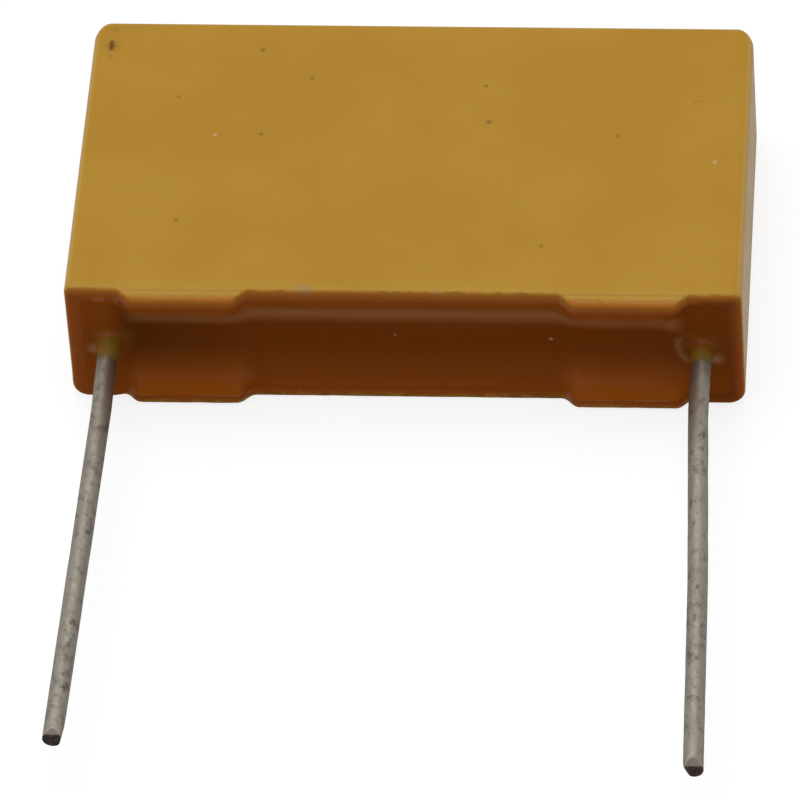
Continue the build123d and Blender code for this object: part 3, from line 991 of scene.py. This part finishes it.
def round_in(x, z, pour, radius):
    """Moves a point outside the rounded corners of the cavity onto them."""
    cx = pour.half - radius
    low, high = pour.back + radius, pour.front - radius
    out_x = abs(x) - cx
    out_z = low - z if z < low else z - high
    if out_x <= 0 or out_z <= 0:
        return x, z
    reach = math.hypot(out_x, out_z)
    if reach <= radius:
        return x, z
    out_x, out_z = out_x * radius / reach, out_z * radius / reach
    return math.copysign(cx + out_x, x), low - out_z if z < low else high + out_z


def collar_patch(work, pour, centre, outer):
    """Rings from the collar's flank to the wire, closed by a disc inside it; returns the outer edges."""
    leads = pour.leads
    flank, count, ripple = 0.5, 72, 0.03
    radii = [outer - (outer - flank) * (i / 12) for i in range(13)]
    radii += [0.485, 0.47, 0.455, 0.44, 0.43, 0.415, 0.4, 0.38, 0.3, 0.2, 0.1]
    rings = []
    for r in radii:
        ring = []
        for k in range(count):
            turn = 2 * math.pi * k / count
            x, z = centre + r * math.cos(turn), leads.middle + r * math.sin(turn)
            clamped = max(r, leads.radius)
            sx, sz = centre + clamped * math.cos(turn), leads.middle + clamped * math.sin(turn)
            wave = ripple * drift(sx, 0, sz, 1.1, 5.0) * (1.0 - r / outer)
            ring.append(work.verts.new((x, float(pour.surface(sx, sz)) + wave, z)))
        rings.append(ring)
    for ring, inner in zip(rings, rings[1:]):
        for k in range(count):
            work.faces.new((ring[k], ring[(k + 1) % count], inner[(k + 1) % count], inner[k]))
    work.faces.new(rings[-1])
    return [work.edges.get((rings[0][k], rings[0][(k + 1) % count])) for k in range(count)]


def add_block(work, pour, edges):
    """Walls from the surface's outline down to the closed end, and the end itself."""
    cup = pour.cup
    start = pour.floor + 0.3
    side = sorted({v for e in edges for v in e.verts}, key=lambda v: v.index)
    upper = {v: v for v in side}
    for t in (0.1, 0.4, 0.7, 1.0):
        y = start + (cup.end - cup.end_wall - start) * t
        half, back, front = cup.section(y, cup.wall)
        lower = {}
        for v in side:
            z = back + (v.co.z - pour.back) * (front - back) / (pour.front - pour.back)
            lower[v] = work.verts.new((v.co.x * half / pour.half, y, z))
        for a, b in (e.verts for e in edges):
            work.faces.new((upper[a], upper[b], lower[b], lower[a]))
        upper = lower
    last = [work.edges.get((upper[a], upper[b])) for a, b in (e.verts for e in edges)]
    bmesh.ops.triangle_fill(work, edges=last, use_beauty=True)


# ---------------------------------------------------------------- the leads


class Leads:
    """Places of the two wires, in millimetres."""

    def __init__(self, sizes, rim):
        take_sizes(self, sizes)
        shift = (ELEMENT_LEFT + ELEMENT_RIGHT) / 2 / MM
        self.left = shift - self.pitch / 2
        self.right = shift + self.pitch / 2
        self.middle = (LEFT_LOW.z + LEFT_HIGH.z) / 2 / MM
        self.inner_end = LEFT_HIGH.y / MM
        self.rim = rim
        self.left_tip = LEFT_LOW.y / MM
        self.right_tip = RIGHT_LOW.y / MM


def turned(spoke, swing):
    """A flat vector turned by an angle."""
    c, s = math.cos(swing), math.sin(swing)
    return Vector((spoke.x * c - spoke.y * s, spoke.x * s + spoke.y * c))


def ahead(heading):
    """Flat direction of a heading."""
    return Vector((math.cos(heading), math.sin(heading)))


def wire_line(leads, x, side, bends, tip_y):
    """Centre line points and headings from the inner end to the tip; bends are (height, turn)."""
    points = []
    step, arcs = 0.16, 3
    heading = -math.pi / 2
    at = Vector((x, leads.inner_end))
    for drop, bend in [*bends, (leads.rim - tip_y, None)]:
        direction = ahead(heading)
        length = (leads.rim - drop - at.y) / direction.y
        steps = max(2, round(length / step))
        points += [(at + direction * length * i / steps, heading) for i in range(steps)]
        at = at + direction * length
        if bend is None:
            return [*points, (at, heading)]
        turn = bend * side
        centre = at + Vector((-math.sin(heading), math.cos(heading))) * math.copysign(leads.bend_radius, turn)
        spoke = at - centre
        points += [(centre + turned(spoke, turn * i / arcs), heading + turn * i / arcs) for i in range(arcs)]
        at = centre + turned(spoke, turn)
        heading += turn


def wire_mesh(leads, line, nips, seed):
    """Round wire along a line, with small dents and a sheared tip."""
    count, bare = 48, leads.rim - 1.2
    verts, faces = [], []
    tip, heading = line[-1]
    before_tip = (0.8, 0.66, 0.53, 0.42, 0.33, 0.26, 0.2, 0.15, 0.11, 0.08, 0.05, 0.025, 0.0)
    stations = [(p, h) for p, h in line if (p - tip).length > 0.9]
    stations += [(tip - ahead(heading) * d, heading) for d in before_tip]
    rings = [(p, h, leads.radius) for p, h in stations]
    rings += [(tip, heading, leads.radius * s) for s in (0.97, 0.85, 0.7, 0.55, 0.4, 0.25, 0.1)]
    for spot, h, radius in rings:
        across = Vector((-math.sin(h), math.cos(h)))
        for k in range(count):
            turn = 2 * math.pi * k / count
            inward = 0.0
            if radius == leads.radius and spot.y < bare:
                rough = drift(spot.x * 3 + 3 * math.cos(turn), spot.y, 3 * math.sin(turn), 0.7, seed)
                inward = leads.dents * max(0.0, rough + 0.15)
            r = radius - inward
            flat = spot + across * (r * math.cos(turn))
            verts.append([flat.x, flat.y, leads.middle + r * math.sin(turn)])
    for n in range(len(rings) - 1):
        faces.extend(ring_faces(n * count, (n + 1) * count, count))
    faces.append(tuple(range(count)))
    faces.append(tuple(range((len(rings) - 1) * count, len(rings) * count)))
    along = Vector((math.cos(heading), math.sin(heading), 0))
    for outward, depth, lean in nips:
        side = outward.normalized()
        normal = side * math.cos(lean) + along * math.sin(lean)
        origin = Vector((tip.x, tip.y, leads.middle)) + side * (leads.radius - depth)
        for v in verts:
            over = (Vector(v) - origin).dot(normal)
            if over > -leads.radius:
                v[:] = Vector(v) - normal * (over + math.hypot(over, leads.bevel_soft)) / 2
    return verts, faces


# ---------------------------------------------------------------- operators


def settings():
    """The scene's groups of settings, with the places worked out from them."""
    scene = bpy.context.scene
    cup = Cup(scene.cup_sizes)
    leads = Leads(scene.lead_sizes, cup.rim)
    return scene, cup, leads


class MakeCup(bpy.types.Operator):
    """Moulded cup with its feet, rim and rounded closed end"""

    bl_idname = "capacitor.cup"
    bl_label = "Moulded cup"

    def execute(self, context):
        scene, cup, _ = settings()
        mesh = point_mesh("moulded_cup", *cup_mesh(cup))
        new_piece("moulded_cup", mesh, "case", polyester(scene.finishes, cup), "case")
        return {"FINISHED"}


class MakeResin(bpy.types.Operator):
    """Potting resin with its hollow surface and the collars round the leads"""

    bl_idname = "capacitor.resin"
    bl_label = "Potting resin"

    def execute(self, context):
        scene, cup, leads = settings()
        pour = Pour(cup, scene.resin_sizes, leads)
        new_piece("potting_resin", resin_mesh(pour), "resin", potting_resin(scene.finishes, pour), "resin_fill")
        return {"FINISHED"}


class MakeLeads(bpy.types.Operator):
    """Two tinned wires with their bends and sheared tips"""

    bl_idname = "capacitor.leads"
    bl_label = "Wire leads"

    def execute(self, context):
        scene, _, leads = settings()
        up = Vector((0, 0, 1))
        left = wire_line(leads, leads.left, -1, [(leads.left_bend, leads.left_splay)], leads.left_tip)
        right_bends = [(leads.right_bend, leads.right_splay), (leads.right_knee, -leads.right_return)]
        right = wire_line(leads, leads.right, 1, right_bends, leads.right_tip)
        tips = [(*line[-1][0], leads.middle) for line in (left, right)]
        tin = tinned_wire(scene.finishes, leads, tips)
        flank, press = leads.bevel_angle, leads.press_angle
        left_nips = [(up, leads.left_bevel, flank), (Vector((1, 0, -0.2)), leads.left_side_bevel, press)]
        right_nips = [(up, leads.right_bevel, flank), (Vector((-1, 0, -0.4)), leads.right_side_bevel, flank)]
        left_mesh = point_mesh("wire_left", *wire_mesh(leads, left, left_nips, 2.0))
        right_mesh = point_mesh("wire_right", *wire_mesh(leads, right, right_nips, 9.0))
        new_piece("wire_left", left_mesh, "wire", tin, "lead_left")
        new_piece("wire_right", right_mesh, "wire", tin, "lead_right")
        return {"FINISHED"}


class FinishElement(bpy.types.Operator):
    """Finishes of the wound element, its sprayed ends and its solder joints"""

    bl_idname = "capacitor.element"
    bl_label = "Wound element"

    def execute(self, context):
        zinc, joint = sprayed_zinc(), solder_metal()
        looks = {
            "film_winding": wound_film(),
            "metal_spray_left": zinc,
            "metal_spray_right": zinc,
            "solder_joint_left": joint,
            "solder_joint_right": joint,
        }
        for name, material in looks.items():
            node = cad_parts[name]
            node.data.materials.clear()
            node.data.materials.append(material)
        return {"FINISHED"}


class MakeStudio(bpy.types.Operator):
    """Pale table, soft overhead lamp, even surround and the camera"""

    bl_idname = "capacitor.studio"
    bl_label = "Table, light and camera"

    def execute(self, context):
        scene = context.scene
        studio = scene.studio
        mesh = bpy.data.meshes.new("table")
        reach = 1.2
        corners = [(x * reach, y * reach, 0) for x, y in ((-1, -1), (1, -1), (1, 1), (-1, 1))]
        mesh.from_pydata(corners, [], [(0, 1, 2, 3)])
        table = put("table", mesh)
        mesh.materials.append(table_top())
        table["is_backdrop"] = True
        lamp = bpy.data.lights.new("overhead", "AREA")
        lamp.size = 0.5
        lamp.energy = studio.lamp
        holder = put("overhead", lamp)
        holder.location = (-0.08, 0.12, 0.6)
        holder.rotation_euler = Vector(holder.location).to_track_quat("Z", "Y").to_euler()
        scene.world = surround(studio.sky)
        scene.view_settings.view_transform = "Standard"
        place_camera(scene, studio)
        return {"FINISHED"}


def surround(strength):
    """Even light all round; reflections see a lighter table below and a dark side before the part."""
    world = bpy.data.worlds.new("surround")
    sky = Nodes(world)
    x, y, z = sky.split(sky.value("Generated", "ShaderNodeTexCoord"))
    glossy = sky.value("Is Glossy Ray", "ShaderNodeLightPath")
    below = sky.ramp(z, 0.02, -0.12, 0.0, 0.1) * glossy
    above = sky.ramp(z, 0.75, 0.4) * sky.ramp(abs(x), 0.5, 0.25)
    height = sky.most(sky.ramp(z, 0.3, 0.02), above)
    dark = sky.ramp(y, 0.4, -0.05, 0.0, 0.992) * height
    background = sky.tree.nodes["Background"]
    sky.feed(background.inputs["Color"], (1.0, 1.0, 1.0))
    sky.feed(background.inputs["Strength"], (below + strength) * (1.0 - dark * glossy))
    return world


def place_camera(scene, studio):
    """Camera by azimuth, elevation and roll about a point in front of the open end."""
    a, e = studio.azimuth, studio.elevation
    back = Vector((math.sin(a) * math.cos(e), -math.cos(a) * math.cos(e), math.sin(e)))
    right = (-back).cross(Vector((0, 0, 1))).normalized()
    up = right.cross(-back)
    c, s = math.cos(studio.roll), math.sin(studio.roll)
    right, up = right * c + up * s, up * c - right * s
    target = Vector((studio.look_aside, -studio.look_ahead, (LEFT_LOW.z + LEFT_HIGH.z) / 2))
    lens = bpy.data.cameras.new("camera")
    lens.lens = studio.lens
    lens.sensor_width = 36.0
    lens.clip_start = 0.01
    camera = put("camera", lens)
    turn = Matrix((right, up, back)).transposed().to_4x4()
    camera.matrix_world = Matrix.Translation(target + back * studio.distance) @ turn
    scene.camera = camera


class CapacitorPanel(bpy.types.Panel):
    """Buttons and settings of the capacitor"""

    bl_idname = "VIEW3D_PT_capacitor"
    bl_label = "Film capacitor"
    bl_space_type = "VIEW_3D"
    bl_region_type = "UI"
    bl_category = "Capacitor"

    def draw(self, context):
        layout = self.layout
        for operator in OPERATORS:
            layout.operator(operator.bl_idname)
        for name, group in GROUPS.items():
            box = layout.box()
            box.label(text=name.replace("_", " ").capitalize())
            for key in group.__annotations__:
                box.prop(getattr(context.scene, name), key)


OPERATORS = (MakeCup, MakeResin, MakeLeads, FinishElement, MakeStudio)


def register():
    for cls in (*GROUPS.values(), *OPERATORS, CapacitorPanel):
        bpy.utils.register_class(cls)
    for name, group in GROUPS.items():
        setattr(bpy.types.Scene, name, PointerProperty(type=group))


def unregister():
    for name in GROUPS:
        delattr(bpy.types.Scene, name)
    for cls in reversed((*GROUPS.values(), *OPERATORS, CapacitorPanel)):
        bpy.utils.unregister_class(cls)


def main():
    register()
    for operator in OPERATORS:
        group, name = operator.bl_idname.split(".")
        getattr(getattr(bpy.ops, group), name)()
    boxes = {"cad": packed_box, "visual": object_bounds()}
    plain = {key: [[float(c) for c in corner] for corner in box] for key, box in boxes.items()}


if __name__ == "__main__":
    main()
